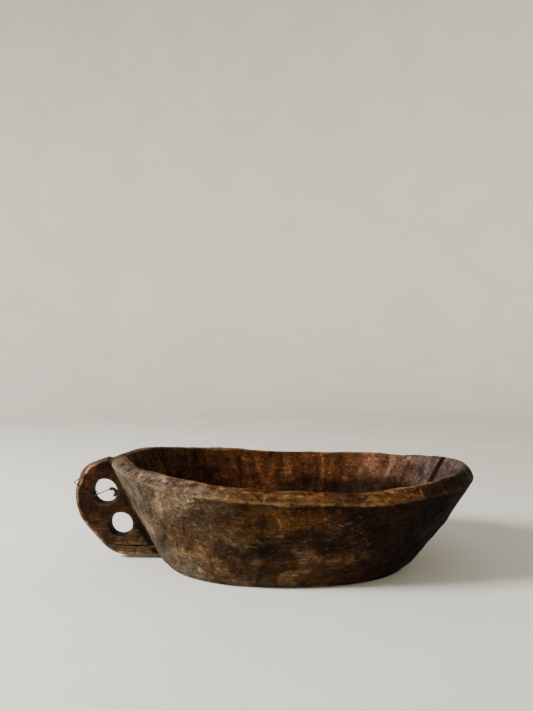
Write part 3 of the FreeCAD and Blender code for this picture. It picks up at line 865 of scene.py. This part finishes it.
def wire_material(name, colour, metallic, roughness):
    """Wire that has dulled in patches."""
    n = Nodes(name)
    tarnish = n.noise((900, 900, 900), detail=4)
    dull = tuple(0.45 * part for part in colour)
    n.put(n.mix(n.remap(tarnish, 0.4, 0.65), (*colour, 1), (*dull, 1)), n.shader.inputs["Base Color"])
    n.shader.inputs["Metallic"].default_value = metallic
    n.put(n.remap(tarnish, 0.35, 0.7, roughness - 0.08, roughness + 0.12), n.shader.inputs["Roughness"])
    n.put(n.bump(tarnish, 0.0002, 0.4), n.shader.inputs["Normal"])
    return n.material


def make_curl():
    """The thick curl on the wire's tail: a round bar bent over, with rounded ends."""
    steps, around, radius = 30, 20, CURL_DIAMETER / 2
    path = []
    for k in range(steps + 1):
        a = math.radians(CURL_START - CURL_SWEEP * k / steps)
        out_x, out_z = math.cos(a), math.sin(a)
        path.append((CURL_CENTRE[0] + CURL_BEND * out_x, CURL_CENTRE[1] + CURL_BEND * out_z,
                     out_x, out_z, radius))

    def cap(row, way, turns):
        """Shrinking rings past one end of the bar."""
        x, z, out_x, out_z, _ = row
        return [(x + way * radius * math.sin(t) * out_z, z - way * radius * math.sin(t) * out_x,
                 out_x, out_z, radius * math.cos(t)) for t in np.radians(turns)]

    rows = cap(path[0], -1, np.linspace(80, 10, 6)) + path + cap(path[-1], 1, np.linspace(10, 80, 6))
    verts, faces = [], []
    for x, z, rx, rz, size in rows:
        for k in range(around):
            a = 2 * math.pi * k / around
            out = size * math.cos(a)
            verts.append(((x + rx * out) * MM, size * math.sin(a) * MM, (z + rz * out) * MM))
    for row in range(len(rows) - 1):
        for k in range(around):
            n = (k + 1) % around
            a, b = row * around, (row + 1) * around
            faces.append((a + k, a + n, b + n, b + k))
    faces.append(tuple(reversed(range(around))))
    faces.append(tuple((len(rows) - 1) * around + k for k in range(around)))
    curl = new_object("glossy_curl", verts, faces)
    recalculate_normals(curl)
    curl.data.shade_smooth()
    return curl


def dress_wires():
    """The CAD loop gets its finish; the curl is replaced by a rounder one."""
    thin = wire_material("thin_wire", (0.055, 0.045, 0.036), metallic=0.9, roughness=0.38)
    thick = wire_material("thick_wire", (0.012, 0.012, 0.013), metallic=0.0, roughness=0.18)
    loop = frame["nodes"]["tie_wire"]
    loop.data.materials.clear()
    loop.data.materials.append(thin)
    curl = make_curl()
    curl.data.materials.append(thick)
    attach(curl, "wire")
    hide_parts("wire_curl")


def floor_material():
    """A plain pale matt floor, very faintly clouded."""
    n = Nodes("floor")
    cloud = n.noise((5, 5, 5), detail=5)
    grain = n.noise((160, 160, 160), detail=4)
    colour = n.mix(n.remap(cloud, 0.3, 0.7), (0.76, 0.74, 0.67, 1), (0.80, 0.785, 0.72, 1))
    n.put(colour, n.shader.inputs["Base Color"])
    n.shader.inputs["Roughness"].default_value = 0.85
    n.put(n.bump(grain, 0.001, 0.25), n.shader.inputs["Normal"])
    return n.material


def make_stage():
    """A round pale floor that curves up into a low wall on every side."""
    flat, bend, height = 1.9, 0.6, 3.2  # metres
    steps, count = 16, 96
    profile = [(flat * share, 0.0) for share in (0.25, 0.5, 1.0)]
    for k in range(1, steps + 1):
        a = math.pi / 2 * k / steps
        profile.append((flat + bend * math.sin(a), bend * (1 - math.cos(a))))
    profile.append((flat + bend, height))
    verts, faces = [(0, 0, 0)], []
    for radius, z in profile:
        for k in range(count):
            a = 2 * math.pi * k / count
            verts.append((radius * math.cos(a), radius * math.sin(a), z))
    for k in range(count):
        n = (k + 1) % count
        faces.append((0, 1 + k, 1 + n))
        for row in range(len(profile) - 1):
            a, b = 1 + row * count, 1 + (row + 1) * count
            faces.append((a + k, b + k, b + n, a + n))
    floor = new_object("floor", verts, faces)
    floor.data.shade_smooth()
    floor.data.materials.append(floor_material())


def add_area(name, place, size, power, colour):
    """A round soft light aimed at the scoop; places and sizes are in metres."""
    data = bpy.data.lights.new(name, "AREA")
    data.shape = "DISK"
    data.size = size
    data.energy = power
    data.color = colour
    light = bpy.data.objects.new(name, data)
    light.location = place
    light.visible_camera = False
    aim = Vector(LIGHT_TARGET) - Vector(place)
    light.rotation_euler = aim.to_track_quat("-Z", "Y").to_euler()
    bpy.context.scene.collection.objects.link(light)


def add_lights():
    world = bpy.data.worlds.new("world")
    bpy.context.scene.world = world
    world.use_nodes = True
    background = world.node_tree.nodes["Background"]
    background.inputs["Color"].default_value = (0.84, 0.83, 0.81, 1)
    background.inputs["Strength"].default_value = 0.15
    add_area("window", (-1.9, -0.55, 1.25), size=0.7, power=110, colour=(1.0, 0.985, 0.95))
    add_area("ceiling", (0.2, -0.2, 2.6), size=2.0, power=6, colour=(1.0, 1.0, 1.0))


clean_scene()
add_camera()
make_stage()
add_lights()

wood = make_wood()
carve(wood)
boolean(wood, rim_crack(), "DIFFERENCE", "MANIFOLD")
boolean(wood, grip_crack(), "DIFFERENCE", "MANIFOLD")
paint(wood)
wood.data.shade_smooth()
wood.data.materials.clear()
wood.data.materials.append(wood_material())
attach(wood, "scoop")
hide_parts("scoop_body")
dress_wires()
